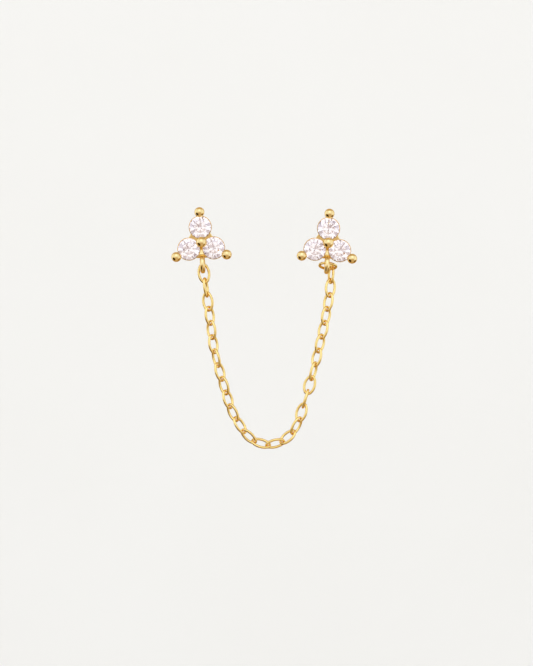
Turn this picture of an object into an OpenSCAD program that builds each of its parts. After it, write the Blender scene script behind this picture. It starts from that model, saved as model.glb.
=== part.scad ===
// Ear chain earring: two studs, each a cluster of three round stones, joined by a cable chain.
// Lengths are in millimetres. +Z is up, +X runs from the left stud to the right one, and the
// studs face -Y. The origin is where the left stud's post leaves its seat on the ear.

/* [Studs] */
// Distance between the two posts
stud_spacing = 11.54; // [10:0.01:14]
// How far the right stud sits below the left one
right_stud_drop = 0.06; // [0:0.01:1]
// Turn of the left cluster in its own plane, anticlockwise from the front
left_turn = 2.9; // [-10:0.1:10]
// Turn of the right cluster in its own plane, anticlockwise from the front
right_turn = -3.2; // [-10:0.1:10]
// How far the left cluster's stones sit above its middle prong
left_lift = 0.10; // [0:0.01:0.12]
// How far the right cluster's stones sit above its middle prong
right_lift = 0.02; // [0:0.01:0.12]
// How far the stones of both clusters sit to the left of the middle prong
ring_shift = 0.05; // [0:0.01:0.08]

/* [Stones] */
// Diameter of each round stone over its girdle
stone_d = 2.0; // [1.8:0.01:2.1]
// Height of a stone's crown above its girdle
crown_h = 0.32; // [0.2:0.01:0.4]
// Height of a stone's girdle band
girdle_h = 0.06; // [0.03:0.01:0.1]
// Depth of a stone's pavilion below its girdle
pavilion_h = 0.86; // [0.75:0.01:0.95]
// Distance from the cluster's centre to each stone's axis
stone_orbit = 1.30; // [1.25:0.01:1.38]

/* [Setting] */
// Height of the stones' girdles above the ear seat
seat_h = 1.00; // [0.97:0.01:1.2]
// Gap between a stone and the metal that holds it
stone_gap = 0.02; // [0.01:0.005:0.03]
// How far a stone's cup shows outside its girdle
cup_rim = 0.05; // [0.03:0.01:0.1]
// Radius of a stone's cup where it rests on the ear
cup_foot_r = 0.78; // [0.6:0.01:0.9]
// Radius of the light hole behind each stone
light_hole_r = 0.42; // [0.2:0.01:0.5]
// Diameter of the three outer prong balls
outer_ball_d = 0.90; // [0.7:0.01:1]
// Diameter of the shared prong ball in the middle
centre_ball_d = 0.97; // [0.8:0.01:1.1]
// Distance from the cluster's centre to each outer prong ball
ball_orbit = 2.65; // [2.55:0.01:2.75]
// Diameter of the outer prongs' wire
prong_d = 0.48; // [0.3:0.01:0.6]
// Distance from the cluster's centre to each outer prong's foot
prong_foot_orbit = 2.00; // [1.8:0.01:2.1]
// Height of the prongs' feet above the ear seat
prong_foot_h = 0.16; // [0.1:0.01:0.2]
// How far a prong's ball closes over the edge of a stone's crown
ball_bite = 0.05; // [0:0.01:0.1]
// Diameter of the middle prong's wire at its ball
centre_prong_d = 0.66; // [0.5:0.01:0.8]
// Diameter of the middle prong's wire at its foot
centre_prong_foot_d = 0.74; // [0.6:0.01:0.9]
// Thickness of the bridges between neighbouring cups
bridge_t = 0.40; // [0.3:0.01:0.5]
// How far the bridges lie behind the stones' girdles
bridge_sink = 0.08; // [0.04:0.01:0.2]
// Width of the two upper bridges
bridge_w = 0.60; // [0.4:0.01:0.8]
// Reach of the two upper bridges from the cluster's centre
bridge_reach = 1.15; // [0.9:0.01:1.3]
// Width of the lower bridge, which carries the chain loop
loop_bridge_w = 1.10; // [0.8:0.01:1.3]
// Radius of the round shoulder at the lower bridge's end
shoulder_r = 0.33; // [0.25:0.01:0.36]

/* [Post] */
// Diameter of the ear post
post_d = 0.80; // [0.6:0.05:1]
// Length of the ear post, from the seat to its tip
post_length = 10.0; // [8:0.1:12]
// Length of the bevelled tip of the post
post_tip = 0.30; // [0.1:0.05:0.5]
// Radius of the foot that joins the post to the cups
hub_r = 0.75; // [0.6:0.01:0.8]

/* [Chain loop] */
// Outer diameter of the loop under each cluster
loop_d = 1.66; // [1.5:0.01:1.8]
// Diameter of the loop's wire
loop_wire = 0.44; // [0.35:0.01:0.5]
// Distance from the cluster's centre down to the loop's centre
loop_drop = 2.00; // [1.9:0.01:2.05]
// Height of the loop's centre above the ear seat
loop_h = 0.92; // [0.8:0.01:1.05]

/* [Chain] */
// Outer length of a link
link_length = 1.87; // [1.6:0.01:2]
// Outer width of a link
link_width = 1.17; // [1.05:0.01:1.3]
// Diameter of a link's wire
link_wire = 0.24; // [0.15:0.01:0.25]
// Radius of a link's round ends, at the middle of the wire
link_end_r = 0.32; // [0.28:0.01:0.36]
// Play between one link and the next along the chain
link_play = 0.08; // [0.06:0.01:0.14]
// Lean of the links out of the chain's flat, either way in turn
link_lean = 42; // [38:1:50]
// Depth of the U in which the chain hangs, below the left post
chain_drop = 18.50; // [15:0.05:22]
// How far to the right of the left loop's centre the first link hangs
first_link_shift = 0.12; // [0:0.01:0.15]
// How steeply the last link, which lies across the right loop, drops to the back
end_link_slope = 34; // [30:1:38]
// Turn of the last link about the vertical, with its right end to the back
end_link_turn = 25; // [20:1:30]
// How steeply the last link drops to its right end
end_link_tilt = 10; // [5:1:12]
// How far the last link's middle lies to the right of the right loop's
end_link_shift = 0.10; // [0.08:0.01:0.14]
// How far the last link's middle lies behind the right loop's
end_link_back = 0.58; // [0.57:0.01:0.6]
// How far the last link's middle lies below the right loop's
end_link_drop = 0.06; // [0.04:0.01:0.08]
// How far to the right of the last link's middle the chain hangs from it
hook_shift = 0.55; // [0.45:0.01:0.6]

/* [Hidden] */
gold = [0.90, 0.68, 0.28];
chain_gold = [0.95, 0.77, 0.38];
clear = [0.93, 0.91, 0.96];
$fn = 64;
FRONT = [0, -1, 0];

// Where the stones and the bridges stand round a cluster, anticlockwise from its right
STONES = [["top", 90], ["left", 210], ["right", 330]];
UPPER_BRIDGES = [30, 150];
LOOP_BRIDGE = 270;

// A brilliant's rings of corners as shares of its girdle radius. Two of them take the height
// that keeps the kite-shaped facets flat.
TABLE = 0.57;
STAR = 0.76;
LOWER = 0.26;
facet_step = 22.5;
star_rise = (1 - STAR * cos(facet_step)) / (1 - TABLE);
lower_sink = 1 - LOWER * cos(facet_step);

stone_r = stone_d / 2;
girdle_top = seat_h + girdle_h;
hub_h = 2 * prong_foot_h;
loop_r = (loop_d - loop_wire) / 2;

// A prong's ball stands where its side closes a little over the edge of the stone's crown
outer_ball_h = ball_height(outer_ball_d / 2, ball_orbit - stone_orbit - stone_r);
centre_ball_h = ball_height(centre_ball_d / 2, stone_orbit - stone_r);
function ball_height(r, reach) = girdle_top + sqrt(r ^ 2 - reach ^ 2) - ball_bite;

// Half the length and width of a link at the middle of its wire, and its flatter side arcs
link_a = (link_length - link_wire) / 2;
link_b = (link_width - link_wire) / 2;
side_run = link_a - link_end_r;
link_side_r = (side_run ^ 2 + link_b ^ 2 - link_end_r ^ 2) / (2 * (link_b - link_end_r));
side_half_angle = atan2(side_run, link_side_r - link_b);
SOLDER = 1.04;

// The two loops' centres, and the last link, whose far side carries the chain
left_loop = turned(left_turn, [0, -loop_drop, loop_h]);
right_loop = [stud_spacing, 0, -right_stud_drop] + turned(right_turn, [0, -loop_drop, loop_h]);
end_link_centre = right_loop + [end_link_shift, end_link_back, -end_link_drop];
end_link_lean = 90 + end_link_slope;
level_run = cos(end_link_turn);
end_link_way = [level_run * cos(end_link_tilt), sin(end_link_turn), -level_run * sin(end_link_tilt)];
hook_width = link_b - link_side_r + sqrt(link_side_r ^ 2 - hook_shift ^ 2);
chain_hook = end_link_centre + hook_shift * end_link_way
    + hook_width * width_axis(end_link_way, end_link_lean);
function turned(a, p) = [p.x * cos(a) - p.y * sin(a), -p.z, p.x * sin(a) + p.y * cos(a)];

// The chain's route between its first and last links, chosen by hand. Across is a share of the
// way from loop to loop, down of the chain's drop, and back of the loop's height.
ACROSS = 0;
DOWN = 1;
BACK = 2;
CHAIN_ROUTE = [
    [0.058, 0.365, 0.00],
    [0.094, 0.528, 0.00],
    [0.171, 0.704, 0.00],
    [0.246, 0.841, 0.00],
    [0.365, 0.951, 0.00],
    [0.471, 0.989, 0.00],
    [0.574, 0.991, 0.00],
    [0.678, 0.961, 0.00],
    [0.758, 0.897, 0.00],
    [0.828, 0.768, 0.00],
    [0.886, 0.645, 0.05],
    [0.940, 0.508, 0.17],
    [0.990, 0.370, 0.42],
    [1.028, 0.230, 0.76]
];

route = [for (row = CHAIN_ROUTE) [
    left_loop.x + row[ACROSS] * (right_loop.x - left_loop.x),
    (row[BACK] - 1) * loop_h,
    -row[DOWN] * chain_drop
]];
first_hung = left_loop + [first_link_shift, 0, -link_a];
last_hung = chain_hook - (link_a - link_wire - link_play) * unit(chain_hook - route[len(route) - 1]);
knots = concat([first_hung], route, [last_hung]);

// A smooth curve through the knots, in short steps, with the distance run at each step
STEPS = 12;
function knot(i) = knots[min(max(i, 0), len(knots) - 1)];
function curve(i, t) = 0.5 * (
    2 * knot(i) + (knot(i + 1) - knot(i - 1)) * t
    + (2 * knot(i - 1) - 5 * knot(i) + 4 * knot(i + 1) - knot(i + 2)) * t ^ 2
    + (3 * knot(i) - knot(i - 1) - 3 * knot(i + 1) + knot(i + 2)) * t ^ 3
);
curve_points = concat(
    [for (i = [0 : len(knots) - 2], k = [0 : STEPS - 1]) curve(i, k / STEPS)],
    [last_hung]
);
last_point = len(curve_points) - 1;
function step_length(i) = i < last_point ? norm(curve_points[i + 1] - curve_points[i]) : 0;
runs = [for (i = 0, s = 0; i <= last_point; s = s + step_length(i), i = i + 1) s];
chain_run = runs[last_point];
function along(s) = [
    for (axis = [0 : 2]) lookup(s, [for (i = [0 : last_point]) [runs[i], curve_points[i][axis]]])
];

// As many links as leave each about its play, spread evenly over the run
hung_links = round(chain_run / (link_length - 2 * link_wire - link_play)) + 1;
link_pitch = chain_run / (hung_links - 1);

// Links that lie turned from the even lean, as number and lean, counted from the left stud
LOOSE_LINKS = [
    [1, 0], [2, 75], [3, -28], [7, -56], [12, 47], [14, 47], [17, -50],
    [18, 27], [19, -86], [20, 6], [21, -62], [27, -30], [28, 67]
];
function even_lean(n) = (n % 2 == 0 ? 1 : -1) * link_lean;
function own_lean(n) = [for (row = LOOSE_LINKS) if (row[0] == n) row[1]];
function lean(n) = len(own_lean(n)) > 0 ? own_lean(n)[0] : even_lean(n);

function link_name(n) = str("link_", n < 10 ? "0" : "", n);

// A link's axes. It runs along a way of length one, faces the front, and is then leaned about its
// own length.
function unit(v) = v / norm(v);
function flat_face(way) = unit(FRONT - way * (way * FRONT));
function face_axis(way, lean) = flat_face(way) * cos(lean) + cross(flat_face(way), way) * sin(lean);
function width_axis(way, lean) = cross(face_axis(way, lean), way);

// A cluster is drawn with its front along +Z and its middle prong at the origin, and these stand
// it in its place
module at_left() {
    rotate([90, 0, 0]) rotate([0, 0, left_turn]) children();
}

module at_right() {
    translate([stud_spacing, 0, -right_stud_drop])
        rotate([90, 0, 0]) rotate([0, 0, right_turn]) children();
}

// The ring of stones and cups, a little off the middle prong
module in_ring(lift) {
    translate([-ring_shift, lift, 0]) children();
}

module at_stone(angle) {
    rotate(angle) translate([stone_orbit, 0, seat_h]) children();
}

// A round brilliant with its girdle's lower edge at z = 0 and its table facing +Z
module brilliant() {
    function corners(count, r, z, first) =
        [for (k = [0 : count - 1]) [r * cos(first + k * 360 / count), r * sin(first + k * 360 / count), z]];
    points = concat(
        corners(8, TABLE * stone_r, girdle_h + crown_h, 0),
        corners(8, STAR * stone_r, girdle_h + star_rise * crown_h, facet_step),
        corners(16, stone_r, girdle_h, 0),
        corners(16, stone_r, 0, 0),
        corners(8, LOWER * stone_r, -lower_sink * pavilion_h, facet_step),
        [[0, 0, -pavilion_h]]
    );
    function table(k) = k % 8;
    function star(k) = 8 + (k + 8) % 8;
    function upper(k) = 16 + k % 16;
    function under(k) = 32 + k % 16;
    function lower(k) = 48 + (k + 8) % 8;
    culet = 56;
    faces = concat(
        [[for (k = [7 : -1 : 0]) table(k)]],
        [for (k = [0 : 7]) [table(k), star(k), upper(2 * k), star(k - 1)]],
        [for (k = [0 : 7]) [table(k), table(k + 1), star(k)]],
        [for (k = [0 : 7]) [star(k), upper(2 * k + 1), upper(2 * k)]],
        [for (k = [0 : 7]) [star(k), upper(2 * k + 2), upper(2 * k + 1)]],
        [for (k = [0 : 15]) [upper(k), upper(k + 1), under(k + 1), under(k)]],
        [for (k = [0 : 7]) [under(2 * k), under(2 * k + 1), lower(k)]],
        [for (k = [0 : 7]) [under(2 * k + 1), under(2 * k + 2), lower(k)]],
        [for (k = [0 : 7]) [under(2 * k), lower(k), culet, lower(k - 1)]]
    );
    polyhedron(points, faces);
}

module stone(angle, lift) {
    color(clear) in_ring(lift) at_stone(angle) brilliant();
}

// The room that a stone and its light hole take out of the setting
module stone_room() {
    slack = 2 * stone_gap;
    room_r = stone_r + stone_gap;
    rotate_extrude() polygon([
        [0, -pavilion_h - slack],
        [room_r, -stone_gap],
        [room_r, girdle_h + stone_gap],
        [STAR * stone_r + stone_gap, girdle_h + star_rise * crown_h + slack],
        [TABLE * stone_r, girdle_h + crown_h + slack],
        [0, girdle_h + crown_h + slack]
    ]);
    translate([0, 0, -2 * seat_h]) cylinder(h = 1.8 * seat_h, r = light_hole_r);
}

// The tapered cup under one stone
module cup() {
    translate([0, 0, -seat_h]) cylinder(h = seat_h, r1 = cup_foot_r, r2 = stone_r + cup_rim);
}

// An outer prong, leaning out from the foot of its cup to its ball
module outer_prong() {
    foot = [prong_foot_orbit, 0, prong_foot_h];
    ball = [ball_orbit, 0, outer_ball_h];
    way = ball - foot;
    translate(foot) rotate([0, atan2(way.x, way.z), 0]) cylinder(h = norm(way), d = prong_d);
    translate(ball) sphere(d = outer_ball_d);
}

module centre_prong() {
    translate([0, 0, prong_foot_h])
        cylinder(h = centre_ball_h - prong_foot_h, d1 = centre_prong_foot_d, d2 = centre_prong_d);
    translate([0, 0, centre_ball_h]) sphere(d = centre_ball_d);
}

// A bar from the middle of the cluster out between two cups
module bridge(width, reach) {
    translate([0, -width / 2, seat_h - bridge_sink - bridge_t]) cube([reach, width, bridge_t]);
}

// The lower bridge, whose end is a round shoulder that the chain loop is soldered to
module loop_bridge() {
    shoulder = loop_drop - loop_r - shoulder_r;
    rotate(LOOP_BRIDGE) {
        bridge(loop_bridge_w, shoulder);
        translate([shoulder, 0, seat_h - bridge_sink - shoulder_r])
            rotate([90, 0, 0]) cylinder(h = loop_bridge_w, r = shoulder_r, center = true);
    }
}

module chain_loop() {
    translate([0, -loop_drop, loop_h]) rotate([0, 90, 0])
        rotate_extrude() translate([loop_r, 0]) circle(d = loop_wire);
}

// The foot behind the cluster and the ear post soldered to it
module post() {
    shank = post_length - post_tip;
    cylinder(h = hub_h, r = hub_r);
    translate([0, 0, -shank]) cylinder(h = shank + hub_h / 4, d = post_d);
    translate([0, 0, -post_length]) cylinder(h = post_tip, d1 = post_d / 2, d2 = post_d);
}

// One cluster's metal, soldered into one piece: cups, bridges, prongs, chain loop and post
module setting(lift) {
    color(gold) {
        difference() {
            union() {
                in_ring(lift) {
                    for (place = STONES) at_stone(place[1]) cup();
                    for (place = STONES) rotate(place[1]) outer_prong();
                    for (angle = UPPER_BRIDGES) rotate(angle) bridge(bridge_w, bridge_reach);
                }
                centre_prong();
                loop_bridge();
                chain_loop();
                post();
            }
            in_ring(lift) {
                for (place = STONES) at_stone(place[1]) stone_room();
            }
        }
    }
}

// An oval link lying in the XY plane along X: four arcs that run into one another, with a
// slight bead of solder over each join
module oval_link() {
    module arc(centre, r, middle, half) {
        translate(centre) rotate(middle - half)
            rotate_extrude(angle = 2 * half) translate([r, 0]) circle(d = link_wire);
    }
    arc([side_run, 0], link_end_r, 0, 90 - side_half_angle);
    arc([0, link_b - link_side_r], link_side_r, 90, side_half_angle);
    arc([-side_run, 0], link_end_r, 180, 90 - side_half_angle);
    arc([0, link_side_r - link_b], link_side_r, 270, side_half_angle);
    for (x = [-1, 1], y = [-1, 1]) {
        join = [side_run, 0] + link_end_r * [sin(side_half_angle), cos(side_half_angle)];
        translate([x * join.x, y * join.y]) sphere(d = SOLDER * link_wire);
    }
}

module placed_link(centre, way, lean) {
    wide = width_axis(way, lean);
    face = face_axis(way, lean);
    color(chain_gold) multmatrix([
        [way.x, wide.x, face.x, centre.x],
        [way.y, wide.y, face.y, centre.y],
        [way.z, wide.z, face.z, centre.z],
        [0, 0, 0, 1]
    ]) oval_link();
}

// The links hung along the chain's route, and then the one that lies across the right loop
module link(n) {
    s = (n - 1) * link_pitch;
    if (n <= hung_links)
        placed_link(along(s), unit(along(s + link_pitch / 2) - along(s - link_pitch / 2)), lean(n));
    else
        placed_link(end_link_centre, end_link_way, end_link_lean);
}

at_left() setting(left_lift);  // left_setting
at_right() setting(right_lift);  // right_setting
for (place = STONES) {
    at_left() stone(place[1], left_lift);
    at_right() stone(place[1], right_lift);
}
for (n = [1 : hung_links + 1]) {
    link(n);
}
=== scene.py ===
import math

import bmesh
import bpy
import numpy as np
from mathutils import Matrix, Vector


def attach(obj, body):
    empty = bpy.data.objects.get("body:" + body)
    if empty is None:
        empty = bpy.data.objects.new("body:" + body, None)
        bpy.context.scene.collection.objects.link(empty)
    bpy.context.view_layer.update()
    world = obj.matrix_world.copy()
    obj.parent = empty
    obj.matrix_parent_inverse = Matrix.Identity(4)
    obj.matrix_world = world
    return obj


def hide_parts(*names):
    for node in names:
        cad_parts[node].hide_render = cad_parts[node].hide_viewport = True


# Ear chain earring: two clusters of three round stones and the cable chain between them.
# The scene is in metres. A cluster and a link are drawn in millimetres and scaled as they are placed.

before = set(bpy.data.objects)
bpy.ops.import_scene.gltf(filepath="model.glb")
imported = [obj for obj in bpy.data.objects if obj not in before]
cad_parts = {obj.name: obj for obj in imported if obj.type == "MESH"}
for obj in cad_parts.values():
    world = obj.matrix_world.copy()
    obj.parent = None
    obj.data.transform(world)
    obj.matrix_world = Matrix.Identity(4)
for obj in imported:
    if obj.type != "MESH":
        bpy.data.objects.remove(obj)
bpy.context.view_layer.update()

MM = 0.001
BODY = "root"

# The photograph's frame and the place of the object in it
IMAGE_W, IMAGE_H = 533, 666
PX_PER_MM = 11.0
LEFT_BALL_PX = (201.4, 242.3)
LENS = 100.0
SENSOR = 36.0
FACE_Y = -1.3 * MM

# Stones, in millimetres
STONE_R = 1.00
STONE_ORBIT = 1.30
SEAT_H = 1.00
GIRDLE_H = 0.06
CROWN_H = 0.32
PAVILION_H = 0.86
TABLE_SHARE = 0.57
STAR_SHARE = 0.76
STONE_MAINS = 8
STONE_ANGLES = (90, 210, 330)

# Setting, in millimetres
STONE_GAP = 0.02
CUP_FOOT_R = 0.78
CUP_RIM_R = 1.05
CUP_FOOT_ROUND = 0.04
CUP_FOOT_ROUND_START = -60
LIGHT_HOLE_R = 0.42
LIGHT_HOLE_TOP = 0.80
OUTER_BALL_R = 0.45
CENTRE_BALL_R = 0.485
BALL_ORBIT = 2.65
BALL_BITE = 0.05
PRONG_R = 0.24
PRONG_FOOT_ORBIT = 2.00
PRONG_FOOT_H = 0.16
CENTRE_PRONG_R = 0.33
CENTRE_PRONG_FOOT_R = 0.37
NECK_ROUND = 0.06
BRIDGE_T = 0.40
BRIDGE_SINK = 0.08
BRIDGE_ROUND = 0.04

# The bridges, each with its angle in degrees, its width and its reach, and the lower one's end
UPPER_BRIDGES = ((30, 0.60, 1.15), (150, 0.60, 1.15))
LOOP_BRIDGE = (270, 1.10, 1.06)
LOOP_BRIDGE_DIP = 0.14
SHOULDER_R = 0.33
SHOULDER_ROUND = 0.10

# How far the ring of stones sits off the middle prong, in millimetres: left, and up on each side
RING_SHIFT = 0.05
RING_LIFT = {"left": 0.10, "right": 0.02}

# Post and chain loop, in millimetres
POST_R = 0.40
POST_LENGTH = 10.0
POST_TIP = 0.30
POST_TIP_SHARE = 0.5
HUB_R = 0.75
HUB_H = 0.32
HUB_ROUND = 0.08
LOOP_R = 0.61
LOOP_WIRE_R = 0.22
LOOP_DROP = 2.00
LOOP_H = 0.92

# A link, in millimetres. Its half length, half width and end radius run to the middle of its wire.
LINK_HALF_LENGTH = 0.815
LINK_HALF_WIDTH = 0.465
LINK_END_R = 0.32
LINK_WIRE_R = 0.12

# A link's solder seam: its bulge as a share of the wire, its length in millimetres, and its place
# as a share of the link's half length
SEAM_BULGE = 0.05
SEAM_LENGTH = 0.10
SEAM_PLACE = 0.5

# Sides round a solid, and steps along a curve
BALL_SIDES = 96
WIRE_SIDES = 64
LOOP_SIDES = 96
LINK_SIDES = 20
LINK_STEPS = 72
LINK_DENSE_STEPS = 200
EDGE_STEPS = 4
ROUND_STEPS = 6
BALL_STEPS = 32

# The angle past which an edge stays sharp, and the radius within which a lathe's point is on its axis
SHARP_ANGLE = math.radians(32)
ON_AXIS = 1e-9

# A mix node's sockets by its kind: its two inputs and its output
MIX_SOCKETS = {"FLOAT": (2, 3, 0), "RGBA": (6, 7, 2)}

# The range that a noise's values mostly keep to
NOISE_LOW, NOISE_HIGH = 0.3, 0.7

# The sweep's two tones, the even white light that falls on it, and the plain world round it
SWEEP_LIGHT = (0.713, 0.702, 0.662, 1)
SWEEP_DEEP = (0.706, 0.694, 0.652, 1)
WHITE = (1.0, 1.0, 1.0, 1)
GROUND_LIGHT = 1.515
PALE = (0.93, 0.922, 0.895, 1)

# What the gold reflects: the light tent by direction. Its lobes are painted over its base in this
# order, each with its direction, the half angles of its core and of its edge, and its radiance. The
# tent's colour turns from dim to bright over the two radiances of its turn.
GOLD_TENT_BASE = 0.62
GOLD_TENT = (
    ((0.0, 0.5, -0.85), 30, 60, 0.50),
    ((0.0, -0.60, -0.80), 30, 62, 0.60),
    ((-1.0, 0.0, 0.05), 34, 60, 1.04),
    ((1.0, 0.0, 0.05), 28, 54, 1.0),
    ((-0.58, -0.68, 0.42), 28, 42, 0.92),
    ((0.58, -0.68, 0.42), 28, 42, 0.92),
    ((0.0, -0.85, 0.52), 34, 46, 0.98),
    ((0.0, -0.75, 0.66), 12, 26, 1.40),
    ((-0.74, -0.21, -0.635), 23, 38, 0.03),
    ((0.75, 0.15, -0.64), 14, 28, 0.14),
    ((0.0, -1.0, 0.0), 4, 8, 0.66),
)
GOLD_TENT_DIM = (1.0, 0.63, 0.20, 1)
GOLD_TENT_BRIGHT = (1.0, 1.08, 1.33, 1)
GOLD_TENT_TURN = (0.40, 0.965)

# What the stones gather through their facets: a brighter tent with a few dim patches
STONE_TENT_BASE = 0.86
STONE_TENT = (
    ((0.0, 0.5, -0.85), 30, 60, 0.90),
    ((0.0, -0.60, -0.80), 30, 62, 0.74),
    ((-0.58, -0.68, 0.42), 28, 42, 1.32),
    ((0.58, -0.68, 0.42), 28, 42, 1.32),
    ((0.0, -0.85, 0.52), 34, 46, 1.38),
    ((-0.74, -0.21, -0.635), 13, 28, 0.14),
    ((0.75, 0.05, -0.66), 11, 26, 0.26),
    ((-0.42, -0.86, 0.28), 4, 10, 0.28),
    ((0.34, -0.93, -0.14), 4, 9, 0.36),
    ((0.14, -0.78, 0.61), 4, 9, 0.34),
    ((-0.18, -0.90, -0.40), 4, 9, 0.40),
    ((0.0, -1.0, 0.0), 3, 8, 0.50),
)
STONE_TENT_DIM = (1.0, 0.76, 0.77, 1)
STONE_TENT_BRIGHT = (1.0, 0.985, 0.995, 1)
STONE_TENT_TURN = (0.4, 1.1)


# Small helpers for meshes

def link_to_scene(obj):
    bpy.context.scene.collection.objects.link(obj)
    return obj


def mesh_object(name, vertices, faces):
    mesh = bpy.data.meshes.new(name)
    mesh.from_pydata([tuple(v) for v in vertices], [], faces)
    mesh.validate()
    return link_to_scene(bpy.data.objects.new(name, mesh))


def arc(centre, r, start, end, steps):
    """Points on a circle's arc, from start to end degrees."""
    angles = np.radians(np.linspace(start, end, steps + 1))
    return [(centre[0] + r * math.cos(a), centre[1] + r * math.sin(a)) for a in angles]


def lathe(name, profile, sides, place):
    """A closed solid of revolution about Z. The profile runs up from the axis and back to it."""
    inner = [p for p in profile if p[0] > ON_AXIS]
    ring_angles = [2 * math.pi * k / sides for k in range(sides)]
    vertices = [(r * math.cos(a), r * math.sin(a), z) for r, z in inner for a in ring_angles]
    bottom, top = len(vertices), len(vertices) + 1
    vertices += [(0, 0, profile[0][1]), (0, 0, profile[-1][1])]
    faces = []
    for row in range(len(inner) - 1):
        for k in range(sides):
            a, b = row * sides + k, row * sides + (k + 1) % sides
            faces.append((a, b, b + sides, a + sides))
    last = (len(inner) - 1) * sides
    faces += [(bottom, (k + 1) % sides, k) for k in range(sides)]
    faces += [(top, last + k, last + (k + 1) % sides) for k in range(sides)]
    return mesh_object(name, [place @ Vector(v) for v in vertices], faces)


def ring(name, big_r, small_r, sides, wire_sides, place):
    """A torus about Z."""
    vertices, faces = [], []
    for i in range(sides):
        a = 2 * math.pi * i / sides
        for j in range(wire_sides):
            b = 2 * math.pi * j / wire_sides
            r = big_r + small_r * math.cos(b)
            vertices.append(place @ Vector((r * math.cos(a), r * math.sin(a), small_r * math.sin(b))))
            near, far = i * wire_sides, (i + 1) % sides * wire_sides
            after = (j + 1) % wire_sides
            faces.append((near + j, far + j, far + after, near + after))
    return mesh_object(name, vertices, faces)


def ball_height(r, reach):
    """Where a prong's ball stands so that its side closes a little over the stone's edge."""
    return SEAT_H + GIRDLE_H + math.sqrt(r ** 2 - reach ** 2) - BALL_BITE


# One cluster's metal

def cup(angle):
    foot_r = CUP_FOOT_R - CUP_FOOT_ROUND
    profile = [(0, 0), (foot_r, 0)]
    profile += arc((foot_r, CUP_FOOT_ROUND), CUP_FOOT_ROUND, CUP_FOOT_ROUND_START, 0, EDGE_STEPS)
    profile += [(CUP_RIM_R, SEAT_H), (0, SEAT_H)]
    place = Matrix.Rotation(math.radians(angle), 4, "Z") @ Matrix.Translation((STONE_ORBIT, 0, 0))
    return lathe("cup", profile, BALL_SIDES, place)


def prong(foot, ball, foot_r, wire_r, ball_r):
    """A prong's wire with its ball melted onto the end, and a small round where they meet."""
    way = Vector(ball) - Vector(foot)
    lift = math.sqrt((ball_r + NECK_ROUND) ** 2 - (wire_r + NECK_ROUND) ** 2)
    neck_z = way.length - lift
    meet = math.degrees(math.atan2(-lift, wire_r + NECK_ROUND))
    profile = [(0, 0), (foot_r, 0)]
    profile += arc((wire_r + NECK_ROUND, neck_z), NECK_ROUND, 180, 180 + meet, ROUND_STEPS)
    profile += arc((0, way.length), ball_r, meet, 90, BALL_STEPS)[1:]
    turn = way.to_track_quat("Z", "Y").to_matrix().to_4x4()
    return lathe("prong", profile, BALL_SIDES, Matrix.Translation(foot) @ turn)


def outer_prong(angle):
    a = math.radians(angle)
    ball_h = ball_height(OUTER_BALL_R, BALL_ORBIT - STONE_ORBIT - STONE_R)
    foot = (PRONG_FOOT_ORBIT * math.cos(a), PRONG_FOOT_ORBIT * math.sin(a), PRONG_FOOT_H)
    ball = (BALL_ORBIT * math.cos(a), BALL_ORBIT * math.sin(a), ball_h)
    return prong(foot, ball, PRONG_R, PRONG_R, OUTER_BALL_R)


def centre_prong():
    ball_h = ball_height(CENTRE_BALL_R, STONE_ORBIT - STONE_R)
    ends = (0, 0, PRONG_FOOT_H), (0, 0, ball_h)
    return prong(*ends, CENTRE_PRONG_FOOT_R, CENTRE_PRONG_R, CENTRE_BALL_R)


def bridge(angle, width, reach, dip=0.0):
    """A bar from the middle of the cluster out between two cups, with its edges rounded.

    Its top stands lower by dip at the middle of the cluster."""
    bm = bmesh.new()
    bmesh.ops.create_cube(bm, size=1)
    top = SEAT_H - BRIDGE_SINK
    bmesh.ops.scale(bm, vec=(reach, width, BRIDGE_T), verts=bm.verts)
    bmesh.ops.translate(bm, vec=(reach / 2, 0, top - BRIDGE_T / 2), verts=bm.verts)
    for v in bm.verts:
        if v.co.x < reach / 2 and v.co.z > top - BRIDGE_T / 2:
            v.co.z -= dip
    bmesh.ops.bevel(
        bm, geom=bm.edges, offset=BRIDGE_ROUND, segments=EDGE_STEPS, profile=0.5, affect="EDGES"
    )
    bmesh.ops.rotate(bm, matrix=Matrix.Rotation(math.radians(angle), 3, "Z"), verts=bm.verts)
    mesh = bpy.data.meshes.new("bridge")
    bm.to_mesh(mesh)
    bm.free()
    return link_to_scene(bpy.data.objects.new("bridge", mesh))


def shoulder(angle, width, reach):
    """The round end of the lower bridge, where the chain loop is soldered on."""
    end, side = width / 2 - SHOULDER_ROUND, SHOULDER_R - SHOULDER_ROUND
    profile = [(0, -width / 2)] + arc((side, -end), SHOULDER_ROUND, -90, 0, ROUND_STEPS)
    profile += arc((side, end), SHOULDER_ROUND, 0, 90, ROUND_STEPS) + [(0, width / 2)]
    turn = Matrix.Rotation(math.radians(angle), 4, "Z")
    stand = Matrix.Translation((reach, 0, SEAT_H - BRIDGE_SINK - SHOULDER_R))
    return lathe("shoulder", profile, BALL_SIDES, turn @ stand @ Matrix.Rotation(math.pi / 2, 4, "X"))


def chain_loop():
    place = Matrix.Translation((0, -LOOP_DROP, LOOP_H)) @ Matrix.Rotation(math.pi / 2, 4, "Y")
    return ring("chain_loop", LOOP_R, LOOP_WIRE_R, LOOP_SIDES, WIRE_SIDES, place)


def post():
    tip = POST_R * POST_TIP_SHARE
    profile = [(0, -POST_LENGTH), (tip, -POST_LENGTH), (POST_R, POST_TIP - POST_LENGTH)]
    profile += [(POST_R, 0), (HUB_R, 0), (HUB_R, HUB_H - HUB_ROUND)]
    profile += arc((HUB_R - HUB_ROUND, HUB_H - HUB_ROUND), HUB_ROUND, 0, 90, ROUND_STEPS)[1:]
    profile += [(0, HUB_H)]
    return lathe("post", profile, WIRE_SIDES, Matrix.Identity(4))


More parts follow.
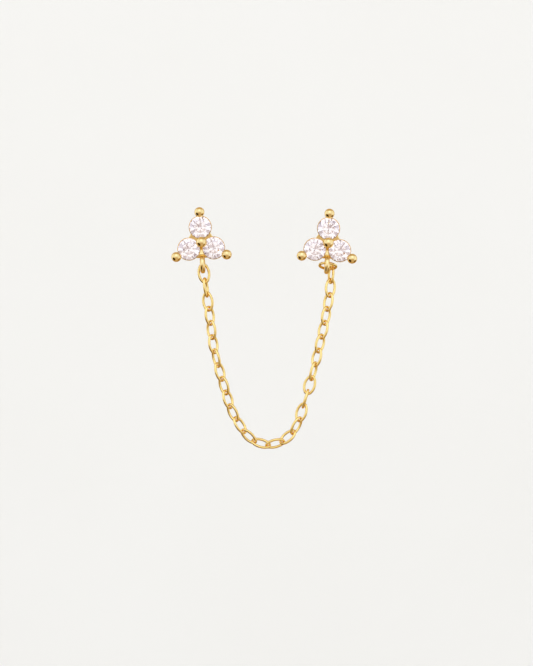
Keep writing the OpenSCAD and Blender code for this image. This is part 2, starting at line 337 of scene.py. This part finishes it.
def stone_room(angle):
    """What a stone takes out of the metal."""
    room_r = STONE_R + STONE_GAP
    slack = 2 * STONE_GAP
    facet = math.pi / STONE_MAINS
    star_rise = (1 - STAR_SHARE * math.cos(facet)) / (1 - TABLE_SHARE)
    profile = [
        (0, -PAVILION_H - slack),
        (room_r, -STONE_GAP),
        (room_r, GIRDLE_H + STONE_GAP),
        (STAR_SHARE * STONE_R + STONE_GAP, GIRDLE_H + star_rise * CROWN_H + slack),
        (TABLE_SHARE * STONE_R, GIRDLE_H + CROWN_H + slack),
        (0, GIRDLE_H + CROWN_H + slack),
    ]
    turn = Matrix.Rotation(math.radians(angle), 4, "Z")
    return lathe("stone_room", profile, BALL_SIDES, turn @ Matrix.Translation((STONE_ORBIT, 0, SEAT_H)))


def light_hole(angle):
    profile = [(0, -SEAT_H), (LIGHT_HOLE_R, -SEAT_H), (LIGHT_HOLE_R, LIGHT_HOLE_TOP), (0, LIGHT_HOLE_TOP)]
    turn = Matrix.Rotation(math.radians(angle), 4, "Z")
    return lathe("light_hole", profile, WIRE_SIDES, turn @ Matrix.Translation((STONE_ORBIT, 0, 0)))


def combine(base, others, cuts):
    """The base with the others joined to it and the cuts taken out, as a mesh."""
    for tool in others + cuts:
        step = base.modifiers.new(tool.name, "BOOLEAN")
        step.operation = "DIFFERENCE" if tool in cuts else "UNION"
        step.solver = "MANIFOLD"
        step.object = tool
    depsgraph = bpy.context.evaluated_depsgraph_get()
    mesh = bpy.data.meshes.new_from_object(base.evaluated_get(depsgraph))
    for obj in [base] + others + cuts:
        bpy.data.objects.remove(obj)
    return mesh


def cluster_mesh(lift):
    """The metal of one cluster, in millimetres, with its front along +Z."""
    ring_parts = [cup(angle) for angle in STONE_ANGLES]
    ring_parts += [outer_prong(angle) for angle in STONE_ANGLES]
    ring_parts += [bridge(*sizes) for sizes in UPPER_BRIDGES]
    cuts = [stone_room(angle) for angle in STONE_ANGLES]
    cuts += [light_hole(angle) for angle in STONE_ANGLES]
    for obj in ring_parts + cuts:
        obj.data.transform(Matrix.Translation((-RING_SHIFT, lift, 0)))
    middle_parts = [bridge(*LOOP_BRIDGE, LOOP_BRIDGE_DIP), shoulder(*LOOP_BRIDGE), chain_loop(), post()]
    return combine(centre_prong(), ring_parts + middle_parts, cuts)


def smooth(mesh):
    mesh.shade_smooth()
    mesh.set_sharp_from_angle(angle=SHARP_ANGLE)


def stone_axis(node):
    """Where a stone's axis stands, from its CAD node."""
    points = np.array([v.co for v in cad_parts[node].data.vertices])
    return points.mean(axis=0)


def cluster_place(side):
    """From a cluster's millimetres to its place, with its back at Y = 0, read off its three stones."""
    top, left, right = (stone_axis(f"{side}_stone_{where}") for where in ("top", "left", "right"))
    ring_middle = (top + left + right) / 3
    turn = math.atan2(ring_middle[0] - top[0], top[2] - ring_middle[2])
    stand = Matrix.Rotation(math.pi / 2, 4, "X") @ Matrix.Rotation(turn, 4, "Z")
    off_ring = Matrix.Translation((RING_SHIFT, -RING_LIFT[side], 0))
    place = Matrix.Translation((ring_middle[0], 0, ring_middle[2])) @ stand
    return place @ Matrix.Scale(MM, 4) @ off_ring


# One link of the chain

def link_line():
    """The middle of a link's wire: two round ends and two flatter sides, evenly stepped."""
    run = LINK_HALF_LENGTH - LINK_END_R
    side_r = (run ** 2 + LINK_HALF_WIDTH ** 2 - LINK_END_R ** 2) / (2 * (LINK_HALF_WIDTH - LINK_END_R))
    half = math.degrees(math.atan2(run, side_r - LINK_HALF_WIDTH))
    points = arc((run, 0), LINK_END_R, half - 90, 90 - half, LINK_DENSE_STEPS)
    points += arc((0, LINK_HALF_WIDTH - side_r), side_r, 90 - half, 90 + half, LINK_DENSE_STEPS)[1:]
    points += arc((-run, 0), LINK_END_R, 90 + half, 270 - half, LINK_DENSE_STEPS)[1:]
    points += arc((0, side_r - LINK_HALF_WIDTH), side_r, 270 - half, 270 + half, LINK_DENSE_STEPS)[1:]
    points = np.array(points)
    steps = np.linalg.norm(np.diff(points, axis=0), axis=1)
    runs = np.concatenate([[0], np.cumsum(steps)])
    even = np.linspace(0, runs[-1], LINK_STEPS, endpoint=False)
    return np.column_stack([np.interp(even, runs, points[:, k]) for k in (0, 1)])


def link_mesh(seam_x):
    """A link lying in XY along X, in millimetres, with its solder seam near seam_x on one side."""
    line = link_line()
    ahead = np.roll(line, -1, axis=0) - np.roll(line, 1, axis=0)
    ahead /= np.linalg.norm(ahead, axis=1)[:, None]
    vertices, faces = [], []
    for i, ((x, y), (tx, ty)) in enumerate(zip(line, ahead)):
        on_seam = math.exp(-((x - seam_x) / SEAM_LENGTH) ** 2) if y > 0 else 0
        r = LINK_WIRE_R * (1 + SEAM_BULGE * on_seam)
        for j in range(LINK_SIDES):
            a = 2 * math.pi * j / LINK_SIDES
            out = r * math.cos(a)
            vertices.append((x + ty * out, y - tx * out, r * math.sin(a)))
            near, far = i * LINK_SIDES, (i + 1) % LINK_STEPS * LINK_SIDES
            after = (j + 1) % LINK_SIDES
            faces.append((near + j, near + after, far + after, far + j))
    mesh = bpy.data.meshes.new("link")
    mesh.from_pydata(vertices, [], faces)
    return mesh


def link_place(node):
    """From a link's millimetres to its place, read off the spread of its CAD node's surface."""
    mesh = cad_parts[node].data
    mesh.calc_loop_triangles()
    points = np.array([v.co for v in mesh.vertices])
    corners = points[np.array([t.vertices[:] for t in mesh.loop_triangles])]
    area = np.array([t.area for t in mesh.loop_triangles])
    centres = corners.mean(axis=1)
    middle = (centres * area[:, None]).sum(axis=0) / area.sum()
    spread = np.zeros((3, 3))
    for corner in range(3):
        mids = (corners[:, corner] + corners[:, (corner + 1) % 3]) / 2 - middle
        spread += (mids * area[:, None]).T @ mids
    axes = np.linalg.eigh(spread)[1]
    length, width = Vector(axes[:, 2]), Vector(axes[:, 1])
    face = length.cross(width)
    turn = Matrix((length, width, face)).transposed().to_4x4()
    return Matrix.Translation(middle) @ turn @ Matrix.Scale(MM, 4)


# Materials

class Nodes:
    """A node tree with a short way to add a node and feed its inputs."""

    def __init__(self, owner):
        owner.use_nodes = True
        self.tree = owner.node_tree
        self.tree.nodes.clear()

    def add(self, kind, inputs=None, **settings):
        made = self.tree.nodes.new(kind)
        for name, value in settings.items():
            setattr(made, name, value)
        for name, value in (inputs or {}).items():
            self.feed(made.inputs[name], value)
        return made

    def feed(self, socket, value):
        if isinstance(value, bpy.types.NodeSocket):
            self.tree.links.new(value, socket)
        else:
            socket.default_value = value

    def millimetres(self):
        """The surface's own coordinates, in millimetres."""
        place = self.add("ShaderNodeTexCoord")
        scaled = self.add(
            "ShaderNodeVectorMath", {0: place.outputs["Object"], "Scale": 1 / MM}, operation="SCALE"
        )
        return scaled.outputs[0]

    def noise(self, where, per_mm, detail, roughness=0.5):
        made = self.add(
            "ShaderNodeTexNoise",
            {"Vector": where, "Scale": per_mm, "Detail": detail, "Roughness": roughness},
        )
        return made.outputs["Fac"]

    def between(self, value, low, high, from_low=NOISE_LOW, from_high=NOISE_HIGH):
        """The value mapped from its own range, by default a noise's, to low and high."""
        made = self.add(
            "ShaderNodeMapRange",
            {"Value": value, "From Min": from_low, "From Max": from_high, "To Min": low, "To Max": high},
        )
        return made.outputs["Result"]

    def mix(self, share, first, second, kind="RGBA"):
        """A mix of two colours, or of two numbers where kind is FLOAT."""
        from_first, from_second, result = MIX_SOCKETS[kind]
        made = self.add("ShaderNodeMix", data_type=kind)
        self.feed(made.inputs[0], share)
        self.feed(made.inputs[from_first], first)
        self.feed(made.inputs[from_second], second)
        return made.outputs[result]


def gold(name, light, deep, edge, smooth_r, worn_r, polish_bump):
    """Polished gold plate: its tone shifts a little, and its gloss breaks up in fine polish marks."""
    material = bpy.data.materials.new(name)
    nodes = Nodes(material)
    where = nodes.millimetres()
    tone = nodes.noise(where, per_mm=1.6, detail=2.0)
    marks = nodes.noise(where, per_mm=22.0, detail=4.0, roughness=0.6)
    colour = nodes.mix(nodes.between(tone, 0.0, 1.0), light, deep)
    bump = nodes.add(
        "ShaderNodeBump", {"Height": marks, "Strength": polish_bump, "Distance": 0.004 * MM}
    )
    shader = nodes.add(
        "ShaderNodeBsdfPrincipled",
        {
            "Base Color": colour,
            "Metallic": 1.0,
            "Roughness": nodes.between(marks, smooth_r, worn_r),
            "Specular Tint": edge,
            "Normal": bump.outputs["Normal"],
        },
    )
    nodes.add("ShaderNodeOutputMaterial", {"Surface": shader.outputs[0]})
    return material


def clear_stone():
    """Clear cut stone with a faint lilac cast that shifts through its depth."""
    material = bpy.data.materials.new("clear_stone")
    nodes = Nodes(material)
    where = nodes.millimetres()
    cast = nodes.noise(where, per_mm=2.2, detail=1.0)
    clear, lilac = (0.93, 0.905, 0.915, 1), (0.93, 0.88, 0.905, 1)
    colour = nodes.mix(nodes.between(cast, 0.0, 1.0), clear, lilac)
    shader = nodes.add(
        "ShaderNodeBsdfPrincipled",
        {"Base Color": colour, "Roughness": 0.0, "IOR": 2.15, "Transmission Weight": 1.0},
    )
    nodes.add("ShaderNodeOutputMaterial", {"Surface": shader.outputs[0]})
    return material


# Studio: a pale sweep, and soft light painted on the world by direction

def sweep():
    """Pale floor that curves up into a backdrop."""
    floor_z, wall_y, round_r = -0.45, 0.30, 0.16
    front_y, top_z, half_width = -0.45, 0.50, 0.60
    bend_steps = 24
    profile = [(front_y, floor_z)]
    profile += arc((wall_y - round_r, floor_z + round_r), round_r, -90, 0, bend_steps)
    profile += [(wall_y, top_z)]
    vertices = [(x, y, z) for y, z in profile for x in (-half_width, half_width)]
    faces = [(2 * k, 2 * k + 1, 2 * k + 3, 2 * k + 2) for k in range(len(profile) - 1)]
    obj = mesh_object("sweep", vertices, faces)
    obj.data.shade_smooth()
    material = bpy.data.materials.new("pale_sweep")
    nodes = Nodes(material)
    grain = nodes.noise(nodes.millimetres(), per_mm=0.02, detail=2.0)
    colour = nodes.mix(nodes.between(grain, 0.0, 1.0), SWEEP_LIGHT, SWEEP_DEEP)
    shader = nodes.add("ShaderNodeBsdfPrincipled", {"Base Color": colour, "Roughness": 0.9})
    nodes.add("ShaderNodeOutputMaterial", {"Surface": shader.outputs[0]})
    obj.data.materials.append(material)
    obj.visible_glossy = False
    obj.visible_transmission = False


def tent(nodes, direction, base, lobes, dim, bright, turn):
    """A tent's light by direction. Its colour goes from dim to bright as its radiance does."""
    shade = nodes.add("ShaderNodeValue").outputs[0]
    shade.default_value = base
    for centre, core, edge, radiance in lobes:
        facing = nodes.add(
            "ShaderNodeVectorMath", {0: direction, 1: Vector(centre).normalized()}, operation="DOT_PRODUCT"
        ).outputs["Value"]
        mask = nodes.add(
            "ShaderNodeMapRange",
            {
                "Value": facing,
                "From Min": math.cos(math.radians(edge)),
                "From Max": math.cos(math.radians(core)),
            },
            interpolation_type="SMOOTHSTEP",
        ).outputs["Result"]
        shade = nodes.mix(mask, shade, radiance, "FLOAT")
    colour = nodes.mix(nodes.between(shade, 0.0, 1.0, *turn), dim, bright)
    return nodes.add("ShaderNodeBackground", {"Color": colour, "Strength": shade})


def light_tent():
    """The world's light, by the kind of ray that meets it."""
    world = bpy.data.worlds.new("light_tent")
    bpy.context.scene.world = world
    nodes = Nodes(world)
    direction = nodes.add("ShaderNodeTexCoord").outputs["Generated"]
    path = nodes.add("ShaderNodeLightPath")
    for_gold = tent(
        nodes, direction, GOLD_TENT_BASE, GOLD_TENT, GOLD_TENT_DIM, GOLD_TENT_BRIGHT, GOLD_TENT_TURN
    )
    for_stones = tent(
        nodes, direction, STONE_TENT_BASE, STONE_TENT, STONE_TENT_DIM, STONE_TENT_BRIGHT, STONE_TENT_TURN
    )
    for_ground = nodes.add("ShaderNodeBackground", {"Color": WHITE, "Strength": GROUND_LIGHT})
    plain = nodes.add("ShaderNodeBackground", {"Color": PALE})
    shown = for_gold
    kinds = (
        ("Is Transmission Ray", for_stones),
        ("Is Diffuse Ray", for_ground),
        ("Is Camera Ray", plain),
    )
    for ray, seen in kinds:
        shown = nodes.add(
            "ShaderNodeMixShader", {0: path.outputs[ray], 1: shown.outputs[0], 2: seen.outputs[0]}
        )
    nodes.add("ShaderNodeOutputWorld", {"Surface": shown.outputs[0]})


def camera():
    """Looks along +Y, so far off that the face of the stones has the photograph's scale."""
    data = bpy.data.cameras.new("camera")
    data.lens = LENS
    data.sensor_width = SENSOR
    data.clip_start = 0.001
    data.clip_end = 5.0
    cam = link_to_scene(bpy.data.objects.new("camera", data))
    distance = IMAGE_H / PX_PER_MM * MM * LENS / SENSOR
    across = (IMAGE_W / 2 - LEFT_BALL_PX[0]) / PX_PER_MM * MM
    down = (IMAGE_H / 2 - LEFT_BALL_PX[1]) / PX_PER_MM * MM
    cam.location = (across, FACE_Y - distance, -down)
    cam.rotation_euler = (math.pi / 2, 0, 0)
    bpy.context.scene.camera = cam


def dress(name, mesh, place, material, node):
    """Puts a mesh in its place as a piece that stands for a CAD node."""
    mesh.name = name
    mesh.transform(place)
    smooth(mesh)
    mesh.materials.clear()
    mesh.materials.append(material)
    piece = link_to_scene(bpy.data.objects.new(name, mesh))
    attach(piece, BODY)
    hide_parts(node)


def look():
    """How the render reads the light."""
    scene = bpy.context.scene
    scene.view_settings.view_transform = "Standard"
    scene.view_settings.look = "None"
    scene.cycles.max_bounces = 24
    scene.cycles.transmission_bounces = 20
    scene.cycles.glossy_bounces = 8
    scene.cycles.caustics_reflective = True
    scene.cycles.caustics_refractive = True


camera()
look()
light_tent()
sweep()

polished_gold = gold(
    "polished_gold", light=(1.0, 0.77, 0.34, 1), deep=(0.95, 0.71, 0.29, 1), edge=(0.95, 0.74, 0.32, 1),
    smooth_r=0.05, worn_r=0.10, polish_bump=0.15,
)
chain_gold = gold(
    "chain_gold", light=(1.0, 0.77, 0.29, 1), deep=(0.98, 0.725, 0.25, 1), edge=(1.0, 0.60, 0.12, 1),
    smooth_r=0.16, worn_r=0.26, polish_bump=0.25,
)
stone_material = clear_stone()

for side, lift in RING_LIFT.items():
    dress(
        f"{side}_setting_metal", cluster_mesh(lift), cluster_place(side), polished_gold,
        f"{side}_setting",
    )

for name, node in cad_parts.items():
    if "_stone_" in name:
        node.data.materials.clear()
        node.data.materials.append(stone_material)
    if name.startswith("link_"):
        number = int(name[-2:])
        seam_x = SEAM_PLACE * LINK_HALF_LENGTH * (-1) ** number
        dress(f"{name}_wire", link_mesh(seam_x), link_place(name), chain_gold, name)
